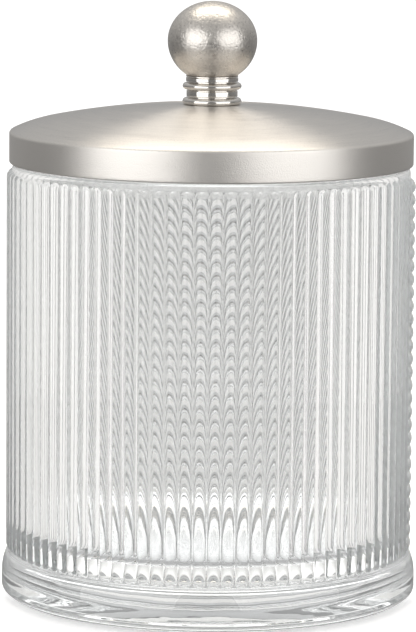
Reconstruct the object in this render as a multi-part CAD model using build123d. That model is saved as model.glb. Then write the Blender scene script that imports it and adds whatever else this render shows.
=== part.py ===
from build123d import *
import os
from math import acos, asin, atan2, cos, degrees, hypot, sin, sqrt

# Apothecary jar: ribbed pressed glass with a loose metal lid and a ball knob.
# Millimetres, +Z up, origin at the middle of the base. The front is -Y.
# Outlines are drawn as (radius, height) and turned about +Z.

# Glass: foot
REST_R = 44.7  # edge of the flat ring it stands on
RECESS_R = 39.0  # the underside is hollowed inside this radius
RECESS = 1.2
RECESS_SLOPE = 5.0  # the hollow's edge runs in this far
FOOT_R = 51.05
FOOT_EDGE = 2.7  # height of the rounded lower edge
FOOT_SIDE_TOP = 5.7
FOOT_BLEND_R = 11.96  # from the foot's side to its top edge
FOOT_TOP = 10.6
BEAD_LOW = 10.9  # the fine ring between the foot and the ribs
BEAD_HIGH = 11.3
BEAD_R = 49.8
BEAD_SLOPE = 0.1  # how much its sides and the foot's top lean

# Glass: body
BODY_R = 50.0  # over the ribs
RIB_COUNT = 92  # pitches to the full round; half of them hold the upright ribs
RIB_R = 1.6  # of a rib's rounded section
RIB_DEPTH = 1.3
RIB_ROOT = 0.25  # how far a rib's section is sunk in the wall
RIB_LOW = 11.3
RIB_HIGH = 105.0
RIBS_MIDDLE = -12.2  # degrees from the front, positive towards +X
HOOP_COUNT = 28  # level ribs round the back half
HOOP_PITCH = 3.272
HOOP_LOWEST = 13.39  # middle of the lowest one
HOOP_CLEAR = 0.3  # degrees of bare wall between a hoop's end and the upright ribs
WALL_R = BODY_R - RIB_DEPTH

# Glass: shoulder, neck and inside
SHOULDER = 106.3
SHOULDER_CORNER = 1.2
NECK_R = 47.0
NECK_CORNER = 0.3  # between the shoulder and the neck
RIM = 113.2
RIM_CORNER = 1.0
MOUTH_R = 44.0
FLOOR_R = 43.5  # the inside tapers to this, so that the press's plunger draws out
FLOOR = 15.0
FLOOR_CORNER = 4.0

# Lid: drawn from thin sheet
LID_R = 49.37
SHEET = 0.7
LID_BOTTOM = 106.85
LID_CORNER_R = 0.9  # between the skirt and the dome
LID_CORNER_Z = 113.87
LID_SHOULDER_R = 31.4  # the dome's outer part
LID_CROWN_R = 210.5  # and its middle
DOME_TOP = 121.3
SEAT_Z = 121.15  # the dome's top is pressed flat at this height, for the collar
HEM_R = 47.75  # the skirt's lower edge turns in to this

# Seal: soft ring on the glass, captive in the lid
FIT = 0.1  # running clearance to the lid
SEAL_R = 47.3  # inside its skirt
SEAL_LOW = 108.0
SEAL_LIP_R = 44.8  # inside the part that lies on the rim

# Knob
BALL_R = 10.92
BALL_Z = 136.67
BALL_UP = 9.66  # heights above and below its middle: the ball is a little flattened
BALL_DOWN = 10.19
COLLAR_R = 7.21
COLLAR_FLANGE_Z = 122.85
COLLAR_FLANGE_LOW_EDGE = 0.7
COLLAR_FLANGE_HIGH_EDGE = 0.85
COLLAR_GROOVE_R = 6.25
COLLAR_BEAD_LOW = 124.8
COLLAR_BEAD_HIGH = 126.55
COLLAR_NECK_LOW = 127.1
COLLAR_NECK_R = 6.4
COLLAR_TOP = 128.2
COLLAR_STEP = 0.1  # slope and edges of the small step under the neck
COLLAR_FILLET = 0.3

# Fasteners: M4 with its usual washers
SCREW_R = 2.0
SCREW_LENGTH = 16.0
THREAD_PITCH = 0.7
THREAD_DEPTH = 0.35
THREAD_GROOVE = 0.6  # width of a groove
THREAD_TURNS = 12
HEAD_R = 4.0
HEAD_H = 2.5
HEAD_CORNER = 1.0
HEAD_FILLET = 0.2  # under the head
RECESS_WIDTH = 0.9
RECESS_DEPTH = 1.5
RECESS_TAPER = 8.0
CLEAR_R = 2.15
FLAT_R = 6.0
FLAT_H = 1.0
LOCK_R = 3.5
LOCK_H = 0.9
LOCK_SLIT = 0.8
LOCK_SLIT_ANGLE = 30.0
WASHER_EDGE = 0.1
TAP_R = 2.02
TAP_DEPTH = 8.0

WASHER_Z = SEAT_Z - SHEET  # the washers and the screw's head stack down from here
LOCK_Z = WASHER_Z - FLAT_H
HEAD_Z = LOCK_Z - LOCK_H


def turned(*edges):
    """Solid of revolution from a closed outline."""
    return revolve(Plane.XZ * make_face(edges), axis=Axis.Z)


def ring(inner, outer, low, high, corner=0.0):
    """Ring of rectangular section with rounded corners."""
    corners = ((inner, low), (outer, low), (outer, high), (inner, high))
    if corner:
        return turned(FilletPolyline(*corners, radius=corner, close=True))
    return turned(Polyline(*corners, close=True))


def jar_core():
    """The jar without its ribs: foot, wall, shoulder, neck and inside."""
    foot_edge = EllipticalCenterArc(
        (REST_R, FOOT_EDGE), FOOT_R - REST_R, FOOT_EDGE, start_angle=-90, arc_size=90
    )
    foot_side = Line((FOOT_R, FOOT_EDGE), (FOOT_R, FOOT_SIDE_TOP))
    foot_blend = RadiusArc((FOOT_R, FOOT_SIDE_TOP), (BODY_R, FOOT_TOP), FOOT_BLEND_R)
    bead = Polyline(
        (BODY_R, FOOT_TOP),
        (WALL_R, FOOT_TOP + BEAD_SLOPE),
        (WALL_R, BEAD_LOW - BEAD_SLOPE),
        (BEAD_R, BEAD_LOW),
        (BEAD_R, BEAD_HIGH - BEAD_SLOPE),
        (WALL_R, BEAD_HIGH),
    )
    wall = FilletPolyline(
        (WALL_R, BEAD_HIGH),
        (WALL_R, SHOULDER),
        (NECK_R, SHOULDER),
        (NECK_R, RIM),
        (MOUTH_R, RIM),
        (FLOOR_R, FLOOR),
        (0, FLOOR),
        radius=(SHOULDER_CORNER, NECK_CORNER, RIM_CORNER, RIM_CORNER, FLOOR_CORNER),
    )
    underside = Polyline(
        (0, FLOOR), (0, RECESS), (RECESS_R - RECESS_SLOPE, RECESS), (RECESS_R, 0), (REST_R, 0)
    )
    return turned(foot_edge, foot_side, foot_blend, bead, wall, underside)


def rib_half():
    """Half of a rib's section on one side of its crest, with the crest at +X."""
    root = WALL_R - RIB_ROOT
    half_width = sqrt(RIB_R**2 - (RIB_R - RIB_DEPTH - RIB_ROOT) ** 2)
    side = RadiusArc((BODY_R, 0), (root, half_width), -RIB_R)
    return make_face([side, Polyline((root, half_width), (root, 0), (BODY_R, 0))])


def rib_end():
    """The rounded end of a rib: half a dome, on the +Z side."""
    return revolve(Plane.XY * rib_half(), axis=Axis.X, revolution_arc=180)


def upright_ribs():
    """Straight ribs with rounded ends, over the front half."""
    low = RIB_LOW + RIB_R
    high = RIB_HIGH - RIB_R
    half = rib_half()
    bar = extrude(Pos(0, 0, low) * (half + mirror(half, about=Plane.XZ)), high - low, dir=(0, 0, 1))
    rib = bar + [Pos(0, 0, high) * rib_end(), Pos(0, 0, low) * Rot(180, 0, 0) * rib_end()]
    count = RIB_COUNT // 2
    pitch = 360 / RIB_COUNT
    first = RIBS_MIDDLE - 90 - (count - 1) / 2 * pitch
    return [Rot(0, 0, first + i * pitch) * rib for i in range(count)]


def hoops():
    """Level ribs with rounded ends, round the back half."""
    reach = 90 - HOOP_CLEAR - degrees(RIB_R / BODY_R)
    half = Plane.XZ * rib_half()
    arc = revolve(half + mirror(half, about=Plane.XY), axis=Axis.Z, revolution_arc=2 * reach)
    ends = [Rot(90, 0, 0) * rib_end(), Rot(0, 0, 2 * reach) * Rot(-90, 0, 0) * rib_end()]
    hoop = Rot(0, 0, RIBS_MIDDLE + 90 - reach) * (arc + ends)
    return [Pos(0, 0, HOOP_LOWEST + i * HOOP_PITCH) * hoop for i in range(HOOP_COUNT)]


def glass_jar():
    """The pressed glass with its upright ribs in front and its hoops behind."""
    return jar_core().fuse(*upright_ribs(), *hoops())


def lid_joins():
    """Angles where the corner meets the shoulder and the shoulder the crown, and the shoulder's middle."""
    side = LID_R - LID_CORNER_R
    rise = LID_CORNER_Z - (DOME_TOP - LID_CROWN_R)
    to_crown = LID_CROWN_R - LID_SHOULDER_R
    to_corner = LID_SHOULDER_R - LID_CORNER_R
    apart = hypot(side, rise)
    at_crown = acos((to_crown**2 + apart**2 - to_corner**2) / (2 * to_crown * apart))
    high_join = atan2(rise, side) + at_crown
    middle_r = to_crown * cos(high_join)
    middle_z = DOME_TOP - LID_CROWN_R + to_crown * sin(high_join)
    low_join = atan2(LID_CORNER_Z - middle_z, side - middle_r)
    return degrees(low_join), degrees(high_join), (middle_r, middle_z)


def lid_form(inset, low):
    """The lid's form as a full solid, with every face this far inside its outer skin."""
    seat = SEAT_Z - inset
    low_join, high_join, shoulder_middle = lid_joins()
    crown_z = DOME_TOP - LID_CROWN_R
    seat_angle = degrees(asin((seat - crown_z) / (LID_CROWN_R - inset)))
    skirt = Line((LID_R - inset, low), (LID_R - inset, LID_CORNER_Z))
    corner_middle = (LID_R - LID_CORNER_R, LID_CORNER_Z)
    corner = CenterArc(corner_middle, LID_CORNER_R - inset, 0, low_join)
    shoulder = CenterArc(shoulder_middle, LID_SHOULDER_R - inset, low_join, high_join - low_join)
    crown = CenterArc((0, crown_z), LID_CROWN_R - inset, high_join, seat_angle - high_join)
    middle = Polyline(crown @ 1, (0, seat), (0, low), (LID_R - inset, low))
    return turned(skirt, corner, shoulder, crown, middle)


def lid_shell():
    """The stamped sheet, with its lower edge turned in and a hole for the knob's screw."""
    hem = ring(HEM_R, LID_R - SHEET / 2, LID_BOTTOM, LID_BOTTOM + SHEET)
    sheet = lid_form(0, LID_BOTTOM) - lid_form(SHEET, LID_BOTTOM) + hem
    hole = Pos(0, 0, SEAT_Z) * Cylinder(CLEAR_R, 4 * SHEET)
    shell = sheet - hole
    edges = shell.edges().filter_by(GeomType.CIRCLE).group_by(Axis.Z)[0]
    return fillet(edges, SHEET / 3)


def seal_ring():
    """Fills the lid's skirt round the glass neck, and lies on the rim."""
    neck = Cylinder(SEAL_R, RIM, align=(Align.CENTER, Align.CENTER, Align.MIN))
    mouth = Pos(0, 0, RIM) * Cylinder(SEAL_LIP_R, RIM)
    return lid_form(SHEET + FIT, SEAL_LOW) - neck - mouth


def knob_collar():
    """Turned spacer: a rounded flange, a groove, a bead and a short neck under the ball."""
    flange = FilletPolyline(
        (CLEAR_R, SEAT_Z),
        (COLLAR_R, SEAT_Z),
        (COLLAR_R, COLLAR_FLANGE_Z),
        (COLLAR_GROOVE_R, COLLAR_FLANGE_Z),
        (COLLAR_GROOVE_R, COLLAR_BEAD_LOW),
        radius=(COLLAR_FLANGE_LOW_EDGE, COLLAR_FLANGE_HIGH_EDGE, COLLAR_FILLET),
    )
    bead_middle = (COLLAR_BEAD_LOW + COLLAR_BEAD_HIGH) / 2
    bead = ThreePointArc(
        (COLLAR_GROOVE_R, COLLAR_BEAD_LOW),
        (COLLAR_R, bead_middle),
        (COLLAR_GROOVE_R, COLLAR_BEAD_HIGH),
    )
    neck = FilletPolyline(
        (COLLAR_GROOVE_R, COLLAR_BEAD_HIGH),
        (COLLAR_GROOVE_R, COLLAR_NECK_LOW - COLLAR_STEP),
        (COLLAR_NECK_R, COLLAR_NECK_LOW + COLLAR_STEP),
        (COLLAR_NECK_R, COLLAR_TOP),
        (CLEAR_R, COLLAR_TOP),
        (CLEAR_R, SEAT_Z),
        radius=(COLLAR_STEP, COLLAR_STEP, COLLAR_FILLET, 0),
    )
    return turned(flange, bead, neck)


def knob_ball():
    """Two half balls of their own heights, cut flat where the lower one meets the collar."""
    upper = Sphere(BALL_R, arc_size1=0, align=(Align.CENTER, Align.CENTER, Align.MIN))
    lower = Sphere(BALL_R, arc_size2=0, align=(Align.CENTER, Align.CENTER, Align.MAX))
    both = scale(upper, by=(1, 1, BALL_UP / BALL_R)) + scale(lower, by=(1, 1, BALL_DOWN / BALL_R))
    ball = split(Pos(0, 0, BALL_Z) * both, Plane.XY.offset(COLLAR_TOP), keep=Keep.TOP)
    hole = Cylinder(TAP_R, TAP_DEPTH, align=(Align.CENTER, Align.CENTER, Align.MIN))
    return ball - Pos(0, 0, COLLAR_TOP) * hole


def knob_screw():
    """Pan-head screw from below, with ring grooves at the pitch of its thread."""
    tip = HEAD_Z + SCREW_LENGTH
    head = FilletPolyline(
        (0, HEAD_Z - HEAD_H),
        (HEAD_R, HEAD_Z - HEAD_H),
        (HEAD_R, HEAD_Z),
        (SCREW_R, HEAD_Z),
        radius=(HEAD_CORNER, HEAD_FILLET),
    )
    thread = [(SCREW_R, HEAD_Z)]
    for i in range(THREAD_TURNS):
        z = tip - (THREAD_TURNS - i) * THREAD_PITCH
        root = (SCREW_R - THREAD_DEPTH, z + THREAD_GROOVE / 2)
        thread += [(SCREW_R, z), root, (SCREW_R, z + THREAD_GROOVE)]
    thread += [(SCREW_R - THREAD_DEPTH, tip), (0, tip), (0, HEAD_Z - HEAD_H)]
    slot = Rectangle(RECESS_WIDTH, HEAD_R) + Rectangle(HEAD_R, RECESS_WIDTH)
    cross = extrude(Pos(0, 0, HEAD_Z - HEAD_H) * slot, RECESS_DEPTH, taper=RECESS_TAPER)
    return turned(head, Polyline(*thread)) - cross


def lock_washer():
    slit = Pos(0, -LOCK_R, LOCK_Z) * Box(LOCK_SLIT, 2 * LOCK_R, 4 * LOCK_H)
    return ring(CLEAR_R, LOCK_R, HEAD_Z, LOCK_Z, corner=WASHER_EDGE) - Rot(0, 0, LOCK_SLIT_ANGLE) * slit


def flat_washer():
    return ring(CLEAR_R, FLAT_R, LOCK_Z, WASHER_Z, corner=WASHER_EDGE)


PARTS = {
    "glass_jar": glass_jar,
    "seal_ring": seal_ring,
    "lid_shell": lid_shell,
    "knob_collar": knob_collar,
    "knob_ball": knob_ball,
    "knob_screw": knob_screw,
    "lock_washer": lock_washer,
    "flat_washer": flat_washer,
}

os.makedirs("parts", exist_ok=True)
for name, make in PARTS.items():
    export_step(make(), f"parts/{name}.step")
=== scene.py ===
import math

import bmesh
import bpy
import numpy as np
from mathutils import Matrix, Vector


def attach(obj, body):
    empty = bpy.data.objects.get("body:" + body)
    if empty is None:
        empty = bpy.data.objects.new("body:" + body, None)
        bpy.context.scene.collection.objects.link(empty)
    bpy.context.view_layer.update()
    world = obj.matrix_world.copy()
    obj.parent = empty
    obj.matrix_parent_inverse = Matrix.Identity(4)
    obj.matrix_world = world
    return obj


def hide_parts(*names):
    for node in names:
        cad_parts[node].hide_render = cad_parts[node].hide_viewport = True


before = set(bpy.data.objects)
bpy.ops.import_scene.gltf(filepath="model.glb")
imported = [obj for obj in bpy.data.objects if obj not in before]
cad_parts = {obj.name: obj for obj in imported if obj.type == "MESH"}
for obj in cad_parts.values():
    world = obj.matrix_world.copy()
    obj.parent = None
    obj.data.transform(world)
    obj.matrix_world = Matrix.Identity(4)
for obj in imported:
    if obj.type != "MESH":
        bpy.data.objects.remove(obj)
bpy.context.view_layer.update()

# Looks of the ribbed glass apothecary jar with its satin nickel lid.
# The frame is the CAD's: metres, +Z up, origin at the middle of the base, front at -Y.
# Lengths of the pieces are written in millimetres. An outline is a list of (radius, height) or
# of (radius, height, corner radius), and is turned about +Z.
MM = 0.001
MERGE_DISTANCE = 1e-7  # metres
TINY = 1e-9  # for rounding errors

# Glass, as in the CAD model
BODY_R = 50.0
RIB_COUNT = 92  # to the full round, though upright ribs stand on the front half only
RIB_R = 1.6  # of the section, for ribs and hoops alike
RIB_DEPTH = 1.3
RIB_LOW = 11.3
RIB_HIGH = 105.0
RIBS_MIDDLE = math.radians(-12.2)
HOOP_COUNT = 28
HOOP_PITCH = 3.272
HOOP_LOWEST = 13.39
HOOP_CLEAR = math.radians(0.3)  # between the ends of the hoops and the ribbed half
HOOP_ROW_CLEAR = 0.05  # between the hoops' rows and the wall's edges
WALL_R = BODY_R - RIB_DEPTH
HOLLOW_Z = 1.2  # of the hollow under the foot
SHOULDER_Z = 106.3
NECK_R = 47.0
RIM_Z = 113.2
MOUTH_R = 44.0
INNER_FLOOR_R = 43.5
INNER_FLOOR_Z = 15.0
INNER_CORNER = 4.0
RIB_STEPS = 12  # mesh columns over one upright rib
HOOP_STEPS = 12  # mesh rows over one hoop
SWEEP_STEP = math.radians(3)  # between the columns along a hoop

# Lid and knob, as in the CAD model
LID_R = 49.37
SHEET = 0.7
LID_BOTTOM = 106.85
HEM_R = 47.75
HEM_TOP = LID_BOTTOM + SHEET
SCREW_HOLE_R = 2.15
LID_CORNER_R = 0.9
LID_CORNER_Z = 113.87
LID_SHOULDER_R = 31.4
LID_CROWN_R = 210.5
DOME_TOP = 121.3
SEAT_Z = 121.15  # of the collar on the dome
FLANGE_R = 7.21
FLANGE_TOP = 122.85
GROOVE_R = 6.25
BEAD_LOW = 124.8
BEAD_HIGH = 126.55
BEAD_OUT = 0.96  # past the groove
COLLAR_NECK_R = 6.4
COLLAR_TOP = 128.2
TURNED_LINE_R = 5.7  # bottom of the fine lines, which the CAD model doesn't have
BROKEN_EDGE = 0.05
BALL_R = 10.92
BALL_Z = 136.67
BALL_UP = 9.66
BALL_DOWN = 10.19
THREAD_HOLE_R = 2.02
THREAD_HOLE_TOP = 136.2


# ---------------------------------------------------------------- outlines and meshes


def rounded(corners, steps=5):
    """Points of an open outline of (radius, height, corner radius), with its corners rounded."""
    points = []
    for k, (r, z, fillet) in enumerate(corners):
        here = Vector((r, z))
        if fillet == 0 or k in (0, len(corners) - 1):
            points.append(tuple(here))
            continue
        before = (Vector(corners[k - 1][:2]) - here).normalized()
        after = (Vector(corners[k + 1][:2]) - here).normalized()
        half = before.angle(after) / 2
        centre = here + (before + after).normalized() * (fillet / math.sin(half))
        first = here + before * (fillet / math.tan(half)) - centre
        last = here + after * (fillet / math.tan(half)) - centre
        turn = math.pi - 2 * half
        for i in range(steps + 1):
            a = turn * i / steps
            spoke = (first * math.sin(turn - a) + last * math.sin(a)) / math.sin(turn)
            points.append(tuple(centre + spoke))
    return points


def arc(middle, radii, start, end, steps):
    """Points of an arc of a circle or an ellipse, between two angles in degrees."""
    (r, z), (wide, tall) = middle, radii
    angles = [math.radians(start + (end - start) * i / steps) for i in range(steps + 1)]
    return [(r + wide * math.cos(a), z + tall * math.sin(a)) for a in angles]


def ring_points(r, z, azimuths):
    """A ring of points, with azimuth measured from the front, positive towards +X."""
    heights = z + 0 * azimuths
    return np.column_stack([r * np.sin(azimuths), -r * np.cos(azimuths), heights]) * MM


def loop_faces(low, high):
    """Quads between two closed rows of vertex numbers."""
    return np.column_stack([low, np.roll(low, -1), np.roll(high, -1), high]).tolist()


def strip_faces(low, high):
    """Quads between two open rows of vertex numbers."""
    return np.column_stack([low[:-1], low[1:], high[1:], high[:-1]]).tolist()


def finish_mesh(name, points, faces):
    """Joins the double points, turns the faces outwards and makes the object."""
    mesh = bpy.data.meshes.new(name)
    mesh.from_pydata(np.concatenate(points).tolist(), [], faces)
    bm = bmesh.new()
    bm.from_mesh(mesh)
    bmesh.ops.remove_doubles(bm, verts=bm.verts, dist=MERGE_DISTANCE)
    bmesh.ops.dissolve_degenerate(bm, edges=bm.edges, dist=MERGE_DISTANCE)
    bmesh.ops.recalc_face_normals(bm, faces=bm.faces)
    bm.to_mesh(mesh)
    bm.free()
    mesh.shade_smooth()
    piece = bpy.data.objects.new(name, mesh)
    bpy.context.scene.collection.objects.link(piece)
    return piece


def turned(name, outline, columns=256, closed=True):
    """A piece turned from an outline. Unless told otherwise, its last point joins its first."""
    azimuths = np.arange(columns) * 2 * math.pi / columns
    points = [ring_points(r, z, azimuths) for r, z in outline]
    rows = [np.arange(columns) + k * columns for k in range(len(outline))]
    faces = []
    for k in range(len(rows) - 1):
        faces += loop_faces(rows[k], rows[k + 1])
    if closed:
        faces += loop_faces(rows[-1], rows[0])
    return finish_mesh(name, points, faces)


# ---------------------------------------------------------------- glass


def crest_angles(steps):
    """Even steps over a rib's rounded section, from one side of the wall to the other."""
    side = math.acos((RIB_R - RIB_DEPTH) / RIB_R)
    return np.linspace(-side, side, steps + 1)


def rib_rise(distance):
    """How far a rib stands out of the wall, at this distance from its middle line."""
    flat = RIB_R - RIB_DEPTH
    return np.sqrt(np.maximum(RIB_R**2 - distance**2, flat**2)) - flat


def rib_columns():
    """Azimuths of the columns over the upright ribs, with their distances from a rib's middle."""
    offsets = RIB_R * np.sin(crest_angles(RIB_STEPS))
    count = RIB_COUNT // 2
    middles = RIBS_MIDDLE + (np.arange(count) - (count - 1) / 2) * 2 * math.pi / RIB_COUNT
    reach = BODY_R - RIB_R + np.sqrt(RIB_R**2 - offsets**2)
    azimuths = middles[:, None] + np.arctan2(offsets, reach)[None, :]
    return azimuths.ravel(), np.tile(offsets, count)


def rib_rows():
    """Heights of the rows over the upright ribs' round ends, with their reach into them."""
    past = RIB_R * np.sin(crest_angles(RIB_STEPS))
    past = past[past >= -TINY]
    heights = np.concatenate([RIB_LOW + RIB_R - past[::-1], RIB_HIGH - RIB_R + past])
    return heights, np.concatenate([past[::-1], past])


def hoop_columns():
    """Azimuths of the columns over the hoops, with their reach into a hoop's round ends."""
    reach = math.pi / 2 - HOOP_CLEAR - RIB_R / BODY_R
    past = RIB_R * np.sin(crest_angles(HOOP_STEPS))
    past = past[past > TINY]
    sweep = np.linspace(-reach, reach, round(2 * reach / SWEEP_STEP) + 1)
    azimuths = np.concatenate([-reach - past[::-1] / BODY_R, sweep, reach + past / BODY_R])
    return RIBS_MIDDLE + math.pi + azimuths, np.concatenate([past[::-1], 0 * sweep, past])


def hoop_rows():
    """Heights of the rows over the hoops, with their distances from a hoop's middle."""
    offsets = RIB_R * np.sin(crest_angles(HOOP_STEPS))
    middles = HOOP_LOWEST + np.arange(HOOP_COUNT) * HOOP_PITCH
    heights = (middles[:, None] + offsets[None, :]).ravel()
    inside = (heights > RIB_LOW + HOOP_ROW_CLEAR) & (heights < RIB_HIGH - HOOP_ROW_CLEAR)
    return heights[inside], np.tile(offsets, HOOP_COUNT)[inside]


def zip_faces(left, left_heights, right, right_heights):
    """Triangles between two upright rows of points that have different heights."""
    faces, i, j = [], 0, 0
    while i < len(left) - 1 or j < len(right) - 1:
        up_left = i < len(left) - 1 and (
            j == len(right) - 1 or left_heights[i + 1] <= right_heights[j + 1]
        )
        if up_left:
            faces.append([left[i], right[j], left[i + 1]])
            i += 1
        else:
            faces.append([left[i], right[j], right[j + 1]])
            j += 1
    return faces


def glass_outside_low():
    """From the middle of the underside to the wall just under the ribs."""
    # The shallow hollow, the foot's lower edge, its flank, and the small bead over the foot
    under = rounded([(0, HOLLOW_Z, 0), (36.0, HOLLOW_Z, 3.0), (39.4, 0, 1.5), (44.9, 0, 0)])
    foot = arc((44.7, 2.7), (6.35, 2.7), -80, 0, 12)
    side = arc((39.09, 5.7), (11.96, 11.96), 0, 23.5, 8)
    bead = rounded([
        (BODY_R, 10.6, 0),
        (49.1, 10.72, 0.08),
        (49.8, 10.95, 0.1),
        (49.8, 11.2, 0.08),
        (WALL_R, RIB_LOW, 0),
    ])
    return under[:-1] + foot + side + bead[1:]


def glass_inside():
    """From the wall just over the ribs, over the rim and down to the middle of the floor."""
    corners = [
        (WALL_R, RIB_HIGH, 0),
        (WALL_R, SHOULDER_Z, 1.2),
        (NECK_R, SHOULDER_Z, 0.6),
        (NECK_R, RIM_Z, 1.0),
        (MOUTH_R, RIM_Z, 1.0),
        (INNER_FLOOR_R, INNER_FLOOR_Z, INNER_CORNER),
        (0, INNER_FLOOR_Z, 0),
    ]
    return rounded(corners, steps=6)


def glass_jar():
    """Upright ribs round the front half and hoops round the back, in one closed mesh."""
    rib_azimuths, rib_sides = rib_columns()
    hoop_azimuths, hoop_past = hoop_columns()
    rib_heights, rib_past = rib_rows()
    hoop_heights, hoop_sides = hoop_rows()
    azimuths = np.concatenate([rib_azimuths, hoop_azimuths])
    points, count = [], 0

    def add(rows):
        nonlocal count
        numbers = []
        for row in rows:
            points.append(row)
            numbers.append(np.arange(len(row)) + count)
            count += len(row)
        return numbers

    low = add([ring_points(r, z, azimuths) for r, z in glass_outside_low()])
    top = add([ring_points(r, z, azimuths) for r, z in glass_inside()])
    ribs = add([
        ring_points(WALL_R + rib_rise(np.hypot(rib_sides, past)), z, rib_azimuths)
        for z, past in zip(rib_heights, rib_past)
    ])
    hoops = add([
        ring_points(WALL_R + rib_rise(np.hypot(side, hoop_past)), z, hoop_azimuths)
        for z, side in zip(hoop_heights, hoop_sides)
    ])
    split = len(rib_azimuths)
    faces = []
    for rows in (low, top):
        for below, above in zip(rows, rows[1:]):
            faces += loop_faces(below, above)
    ribs = [low[-1][:split]] + ribs + [top[0][:split]]
    hoops = [low[-1][split:]] + hoops + [top[0][split:]]
    for rows in (ribs, hoops):
        for below, above in zip(rows, rows[1:]):
            faces += strip_faces(below, above)
    rib_z = [RIB_LOW, *rib_heights, RIB_HIGH]
    hoop_z = [RIB_LOW, *hoop_heights, RIB_HIGH]
    faces += zip_faces([r[-1] for r in ribs], rib_z, [h[0] for h in hoops], hoop_z)
    faces += zip_faces([h[-1] for h in hoops], hoop_z, [r[0] for r in ribs], rib_z)
    return finish_mesh("jar_glass", points, faces)


# ---------------------------------------------------------------- metal pieces


def lid_skin(inset, steps):
    """The corner, the shoulder and the crown of the dome, this far inside the lid's outer skin."""
    crown = Vector((0, DOME_TOP - LID_CROWN_R))
    corner = Vector((LID_R - LID_CORNER_R, LID_CORNER_Z))
    to_crown = LID_CROWN_R - LID_SHOULDER_R
    to_corner = LID_SHOULDER_R - LID_CORNER_R
    apart = (corner - crown).length
    at_crown = math.acos((to_crown**2 + apart**2 - to_corner**2) / (2 * to_crown * apart))
    high = math.atan2(corner.y - crown.y, corner.x) + at_crown
    shoulder = crown + to_crown * Vector((math.cos(high), math.sin(high)))
    low = math.atan2(corner.y - shoulder.y, corner.x - shoulder.x)
    seat = math.asin((SEAT_Z - inset - crown.y) / (LID_CROWN_R - inset))
    stretches = (
        (corner, LID_CORNER_R, 0, low, steps),
        (shoulder, LID_SHOULDER_R, low, high, 2 * steps),
        (crown, LID_CROWN_R, high, seat, 4 * steps),
    )
    points = [(LID_R - inset, LID_CORNER_Z)]
    for middle, radius, start, end, count in stretches:
        radii = (radius - inset, radius - inset)
        points += arc(middle, radii, math.degrees(start), math.degrees(end), count)[1:]
    return points


def lid_shell():
    """The sheet's outside up to the screw's hole, and its inside back down to the turned-in hem."""
    outside = rounded([
        (HEM_R, HEM_TOP, 0),
        (HEM_R, LID_BOTTOM, 0.3),
        (LID_R, LID_BOTTOM, 0.35),
        (LID_R, HEM_TOP, 0),
    ])
    inside = rounded([
        (LID_R - SHEET, LID_CORNER_Z, 0),
        (LID_R - SHEET, HEM_TOP, 0.3),
        (HEM_R, HEM_TOP, 0),
    ])
    seat = [(SCREW_HOLE_R, SEAT_Z), (SCREW_HOLE_R, SEAT_Z - SHEET)]
    outline = outside + lid_skin(0, 8) + seat + lid_skin(SHEET, 5)[::-1] + inside[1:-1]
    return turned("lid_dome_and_skirt", outline, columns=384)


def knob_collar():
    """Flange, groove, bead and neck, with four fine turned lines between and above them."""
    low = rounded([
        (SCREW_HOLE_R, SEAT_Z, 0),
        (FLANGE_R, SEAT_Z, 0.7),
        (FLANGE_R, FLANGE_TOP, 0.85),
        (TURNED_LINE_R, FLANGE_TOP, BROKEN_EDGE),
        (TURNED_LINE_R, 123.1, BROKEN_EDGE),
        (GROOVE_R, 123.15, BROKEN_EDGE),
        (GROOVE_R, 124.5, BROKEN_EDGE),
        (TURNED_LINE_R, 124.55, BROKEN_EDGE),
        (TURNED_LINE_R, BEAD_LOW, BROKEN_EDGE),
        (GROOVE_R, BEAD_LOW, 0),
    ])
    bead_middle = (GROOVE_R, (BEAD_LOW + BEAD_HIGH) / 2)
    bead = arc(bead_middle, (BEAD_OUT, (BEAD_HIGH - BEAD_LOW) / 2), -90, 90, 14)
    high = rounded([
        (GROOVE_R, BEAD_HIGH, 0),
        (TURNED_LINE_R, BEAD_HIGH, BROKEN_EDGE),
        (TURNED_LINE_R, 126.8, BROKEN_EDGE),
        (COLLAR_NECK_R, 126.85, BROKEN_EDGE),
        (COLLAR_NECK_R, 127.7, BROKEN_EDGE),
        (TURNED_LINE_R, 127.75, BROKEN_EDGE),
        (TURNED_LINE_R, 127.9, BROKEN_EDGE),
        (COLLAR_NECK_R, 127.95, BROKEN_EDGE),
        (COLLAR_NECK_R, COLLAR_TOP, 0.1),
        (SCREW_HOLE_R, COLLAR_TOP, 0),
    ])
    return turned("knob_collar_turned", low + bead[1:-1] + high, columns=192)


def knob_ball():
    """A slightly flattened ball, with a flat seat for the collar and the hole for the screw."""
    flat = math.degrees(math.asin((COLLAR_TOP - BALL_Z) / BALL_DOWN))
    lower = arc((0, BALL_Z), (BALL_R, BALL_DOWN), flat, 0, 36)
    upper = arc((0, BALL_Z), (BALL_R, BALL_UP), 0, 90, 48)
    hole = [(0, THREAD_HOLE_TOP), (THREAD_HOLE_R, THREAD_HOLE_TOP), (THREAD_HOLE_R, COLLAR_TOP)]
    return turned("knob_ball_turned", hole + lower + upper[1:], columns=192, closed=False)


# ---------------------------------------------------------------- materials

NOISE_LOW, NOISE_HIGH = 0.35, 0.65  # where most of a noise pattern lies
NICKEL = (0.76, 0.73, 0.69)
BALL_NICKEL = (0.70, 0.665, 0.62)
ZINC = (0.62, 0.62, 0.61)
METAL_SHADE = (0.86, 1.09)  # of the base colour, in and on the rings
SKIRT_BRUSHING, DOME_BRUSHING = 0.5, 0.9  # anisotropy
SKIRT_GRAIN, DOME_GRAIN = 3.5, 1.5
GLASS_TINT = (0.76, 0.765, 0.765, 1)
GLASS_DEPTH_TINT = (0.90, 0.905, 0.905, 1)
GLASS_DENSITY = 20.0
VINYL_TINT = (0.80, 0.81, 0.80, 1)
CLEAR_IOR = 1.5  # of the glass and of the vinyl


def node_tree(name):
    material = bpy.data.materials.new(name)
    material.use_nodes = True
    tree = material.node_tree
    return material, tree, tree.nodes["Principled BSDF"]


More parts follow.
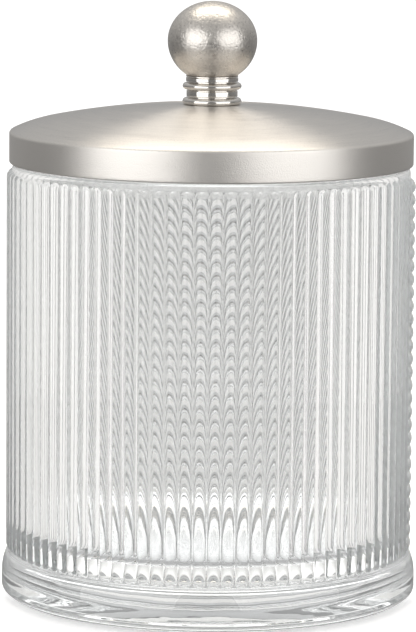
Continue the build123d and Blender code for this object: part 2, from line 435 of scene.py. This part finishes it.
def feed(tree, node, inputs):
    """Links or sets each of these inputs of a node."""
    for key, value in inputs.items():
        if isinstance(value, bpy.types.NodeSocket):
            tree.links.new(value, node.inputs[key])
        else:
            node.inputs[key].default_value = value


def add_node(tree, kind, inputs, **settings):
    node = tree.nodes.new(kind)
    for key, value in settings.items():
        setattr(node, key, value)
    feed(tree, node, inputs)
    return node


def sums(tree, operation, a, b, **settings):
    """A sum of two numbers."""
    settings["operation"] = operation
    return add_node(tree, "ShaderNodeMath", {0: a, 1: b}, **settings).outputs[0]


def vector_sums(tree, operation, inputs):
    """A sum of vectors, which gives a vector or, for some operations, a number."""
    node = add_node(tree, "ShaderNodeVectorMath", inputs, operation=operation)
    is_number = operation in ("LENGTH", "DISTANCE", "DOT_PRODUCT")
    return node.outputs["Value" if is_number else "Vector"]


def coordinates(tree, kind="Object"):
    """Where a point lies. Object coordinates are in metres."""
    return add_node(tree, "ShaderNodeTexCoord", {}).outputs[kind]


def height_above_base(tree, place):
    return add_node(tree, "ShaderNodeSeparateXYZ", {0: place}).outputs["Z"]


def mapped(tree, value, low, high, from_low=0.3, from_high=0.7):
    """A value taken from one range to another, and kept inside it."""
    inputs = {
        "Value": value,
        "From Min": from_low,
        "From Max": from_high,
        "To Min": low,
        "To Max": high,
    }
    return add_node(tree, "ShaderNodeMapRange", inputs).outputs["Result"]


def noise(tree, scale, detail):
    """An even pattern, the same in every direction."""
    inputs = {"Vector": coordinates(tree), "Scale": scale, "Detail": detail}
    return add_node(tree, "ShaderNodeTexNoise", inputs).outputs["Fac"]


def bumps(tree, height, depth):
    """Normals for a pattern of bumps, this many millimetres deep."""
    inputs = {"Height": height, "Strength": 1.0, "Distance": depth * MM}
    return add_node(tree, "ShaderNodeBump", inputs).outputs["Normal"]


def brush_coordinates(tree, along, across):
    """Coordinates that run slowly round the turning axis and fast across the brushing."""
    place = coordinates(tree)
    flat = vector_sums(tree, "MULTIPLY", {0: place, 1: (1, 1, 0)})
    radius = vector_sums(tree, "LENGTH", {0: flat})
    height = height_above_base(tree, place)
    level = sums(tree, "SUBTRACT", radius, height)
    level = sums(tree, "MULTIPLY", level, across)
    way = vector_sums(tree, "NORMALIZE", {0: flat})
    way = vector_sums(tree, "SCALE", {0: way, "Scale": along})
    lift = add_node(tree, "ShaderNodeCombineXYZ", {"Z": level}).outputs[0]
    return vector_sums(tree, "ADD", {0: way, 1: lift})


def ring_noise(tree, along, across, detail, roughness):
    """A pattern drawn out into fine rings round the turning axis."""
    inputs = {
        "Vector": brush_coordinates(tree, along, across),
        "Scale": 1.0,
        "Detail": detail,
        "Roughness": roughness,
    }
    return add_node(tree, "ShaderNodeTexNoise", inputs).outputs["Fac"]


def brushed_metal(name, color, rough, anisotropic, depth, grain, grain_scale=2200.0):
    """Satin plate, brushed in rings round the turning axis, with this weight of grain in them."""
    material, tree, shader = node_tree(name)
    fine = ring_noise(tree, 5.0, 2600.0, 4.0, 0.65)
    broad = ring_noise(tree, 2.2, 420.0, 3.0, 0.6)
    speck = noise(tree, grain_scale, 2.0)
    rings = sums(tree, "ADD", fine, broad)
    grained = sums(tree, "MULTIPLY", speck, grain, name="grain")
    height = sums(tree, "ADD", rings, grained)
    low, high = NOISE_LOW * (2 + grain), NOISE_HIGH * (2 + grain)
    shade = mapped(tree, height, *METAL_SHADE, low, high)
    feed(tree, shader, {
        "Base Color": vector_sums(tree, "SCALE", {0: color, "Scale": shade}),
        "Roughness": mapped(tree, height, rough * 0.8, rough * 1.2, low, high),
        "Normal": bumps(tree, height, depth),
        "Tangent": add_node(
            tree, "ShaderNodeTangent", {}, direction_type="RADIAL", axis="Z"
        ).outputs[0],
        "Metallic": 1.0,
        "Anisotropic": anisotropic,
        "Anisotropic Rotation": 0.25,
    })
    return material


def brush_dome_harder(material):
    """A one-way brushing on the dome, and a grainier one on the skirt below it."""
    tree = material.node_tree
    height = height_above_base(tree, coordinates(tree))
    edge = (LID_CORNER_Z * MM, LID_CORNER_Z * MM + LID_CORNER_R * MM)
    way = mapped(tree, height, SKIRT_BRUSHING, DOME_BRUSHING, *edge)
    feed(tree, tree.nodes["Principled BSDF"], {"Anisotropic": way})
    weight = mapped(tree, height, SKIRT_GRAIN, DOME_GRAIN, *edge)
    feed(tree, tree.nodes["grain"], {1: weight})


def clear_glass():
    """Pressed glass: clear, with faint waves and a breath of dullness."""
    material, tree, shader = node_tree("clear_glass")
    wave = noise(tree, 90.0, 2.0)
    feed(tree, shader, {
        "Normal": bumps(tree, wave, 0.02),
        "Roughness": mapped(tree, wave, 0.0, 0.02),
        "Base Color": GLASS_TINT,
        "Transmission Weight": 1.0,
        "IOR": CLEAR_IOR,
    })
    body = {"Color": GLASS_DEPTH_TINT, "Density": GLASS_DENSITY}
    depth = add_node(tree, "ShaderNodeVolumeAbsorption", body).outputs[0]
    feed(tree, tree.nodes["Material Output"], {"Volume": depth})
    return material


def soft_vinyl():
    """Translucent and nearly matt, with a slight cloud in its dullness."""
    material, tree, shader = node_tree("soft_vinyl")
    cloud = noise(tree, 300.0, 3.0)
    feed(tree, shader, {
        "Roughness": mapped(tree, cloud, 0.3, 0.5),
        "Base Color": VINYL_TINT,
        "Transmission Weight": 0.6,
        "IOR": CLEAR_IOR,
    })
    return material


# ---------------------------------------------------------------- stage

# Distances and places are in metres here, unless they say otherwise.
WORLD_TILT = 0.35  # how far the bright part leans to the back
WORLD_LOW, WORLD_HIGH = 0.22, 0.62
WORLD_LOW_AT, WORLD_HIGH_AT = 0.05, 0.85  # along the tilted upward direction
TABLE_SIZE = 8
TABLE_GLOW = 0.50
FAR_GLOW = 0.25  # on top, where the lamps reach less
FAR_GLOW_FROM, FAR_GLOW_TO = 0.3, 1.5
UNDER_JAR_GLOW = 2.3
UNDER_JAR_GLOW_FROM, UNDER_JAR_GLOW_TO = 0.036, 0.058
GLOW_MIDDLE = (0, 0.02, 0)
TABLE_GAP = 0.05  # mm, so that the glass and the floor never share a plane
LAMP_AIM = Vector((0, 0, 0.08))
LAMP_DISTANCE = 1.3
WARM = (1.0, 0.92, 0.80)
CAMERA_PLACE = (-0.0005, -0.9204, 0.2009)
CAMERA_DOWN = 8.157  # degrees
CAMERA_ROLL = 0.51  # degrees
CAMERA_LENS = 215.5  # mm
CAMERA_SENSOR = 36  # mm
LIGHT_BOUNCES = 40  # with fewer, the edges of the glass turn black


def area_light(name, azimuth, elevation, size, power, color=(1, 1, 1)):
    """A soft box that faces the jar's middle, with azimuth measured from the front towards +X."""
    a, e = math.radians(azimuth), math.radians(elevation)
    way = Vector((math.sin(a) * math.cos(e), -math.cos(a) * math.cos(e), math.sin(e)))
    light = bpy.data.lights.new(name, "AREA")
    light.shape = "RECTANGLE"
    light.size, light.size_y = size
    light.energy = power
    light.color = color
    lamp = bpy.data.objects.new(name, light)
    lamp.location = LAMP_AIM + way * LAMP_DISTANCE
    lamp.rotation_mode = "QUATERNION"
    lamp.rotation_quaternion = way.to_track_quat("Z", "Y")
    lamp.visible_camera = False
    bpy.context.scene.collection.objects.link(lamp)
    return lamp


def studio_world():
    """Grey surroundings, brighter upwards and to the back, that look plain white to the camera."""
    world = bpy.data.worlds.new("studio")
    world.use_nodes = True
    tree = world.node_tree
    way = coordinates(tree, "Generated")
    tilted = vector_sums(tree, "DOT_PRODUCT", {0: way, 1: (0, WORLD_TILT, 1)})
    grey = mapped(tree, tilted, WORLD_LOW, WORLD_HIGH, WORLD_LOW_AT, WORLD_HIGH_AT)
    backdrop = add_node(tree, "ShaderNodeLightPath", {}).outputs["Is Camera Ray"]
    feed(tree, tree.nodes["Background"], {
        "Strength": sums(tree, "MAXIMUM", grey, backdrop),
        "Color": (1, 1, 1, 1),
    })
    bpy.context.scene.world = world


def light_table():
    """A pale floor that glows, most of all under the jar, so that the thick foot isn't dull."""
    place = (0, 0, -TABLE_GAP * MM)
    bpy.ops.mesh.primitive_plane_add(size=TABLE_SIZE, location=place)
    floor = bpy.context.object
    floor.name = "floor"
    material, tree, shader = node_tree("pale_floor")
    distance = vector_sums(tree, "DISTANCE", {0: coordinates(tree), 1: GLOW_MIDDLE})
    near = mapped(
        tree, distance, UNDER_JAR_GLOW, TABLE_GLOW, UNDER_JAR_GLOW_FROM, UNDER_JAR_GLOW_TO
    )
    far = mapped(tree, distance, 0, FAR_GLOW, FAR_GLOW_FROM, FAR_GLOW_TO)
    feed(tree, shader, {
        "Base Color": (0.8, 0.8, 0.8, 1),
        "Roughness": 0.8,
        "Emission Color": (1, 1, 1, 1),
        "Emission Strength": sums(tree, "ADD", near, far),
    })
    floor.data.materials.append(material)
    floor.visible_glossy = False


def stage():
    light_table()
    studio_world()
    area_light("left_box", -45, 12, (1.4, 1.1), 8.6)
    area_light("right_box", 46, 12, (1.5, 1.1), 8.2)
    area_light("top_box", 180, 72, (1.2, 0.7), 7.2, WARM)
    # Low at the back, for the light that the foot takes in through its own far side
    glass_box = area_light("glass_box", 180, 8, (1.6, 0.4), 0.9)
    glass_box.visible_glossy = False


def camera():
    """Nearly a metre off, a little above the lid, with a long lens."""
    data = bpy.data.cameras.new("camera")
    data.sensor_width = CAMERA_SENSOR
    data.lens = CAMERA_LENS
    view = bpy.data.objects.new("camera", data)
    place = Matrix.Translation(CAMERA_PLACE)
    pitch = Matrix.Rotation(math.radians(90 - CAMERA_DOWN), 4, "X")
    roll = Matrix.Rotation(math.radians(CAMERA_ROLL), 4, "Z")
    view.matrix_world = place @ pitch @ roll
    bpy.context.scene.collection.objects.link(view)
    bpy.context.scene.camera = view


# ---------------------------------------------------------------- putting it together


def wear(piece, material):
    piece.data.materials.clear()
    piece.data.materials.append(material)


def place_piece(piece, material, body, nodes):
    wear(piece, material)
    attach(piece, body)
    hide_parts(*nodes)


lid_metal = brushed_metal(
    "lid_nickel", NICKEL, rough=0.34, anisotropic=SKIRT_BRUSHING, depth=0.014,
    grain=DOME_GRAIN, grain_scale=3400.0,
)
brush_dome_harder(lid_metal)
collar_metal = brushed_metal(
    "collar_nickel", NICKEL, rough=0.13, anisotropic=0.2, depth=0.004, grain=1.5,
)
ball_metal = brushed_metal(
    "ball_nickel", BALL_NICKEL, rough=0.33, anisotropic=0.2, depth=0.02,
    grain=5.0, grain_scale=1700.0,
)
steel = brushed_metal(
    "zinc_steel", ZINC, rough=0.3, anisotropic=0.0, depth=0.004, grain=0.5,
)

place_piece(glass_jar(), clear_glass(), "jar", ["glass_jar"])
place_piece(lid_shell(), lid_metal, "lid", ["lid_shell"])
place_piece(knob_collar(), collar_metal, "lid", ["knob_collar"])
place_piece(knob_ball(), ball_metal, "lid", ["knob_ball"])
for node in ("knob_screw", "lock_washer", "flat_washer"):
    wear(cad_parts[node], steel)
wear(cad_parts["seal_ring"], soft_vinyl())

stage()
camera()
bpy.context.scene.view_settings.view_transform = "Standard"
bpy.context.scene.cycles.max_bounces = LIGHT_BOUNCES
bpy.context.scene.cycles.transmission_bounces = LIGHT_BOUNCES
bpy.context.scene.cycles.glossy_bounces = LIGHT_BOUNCES
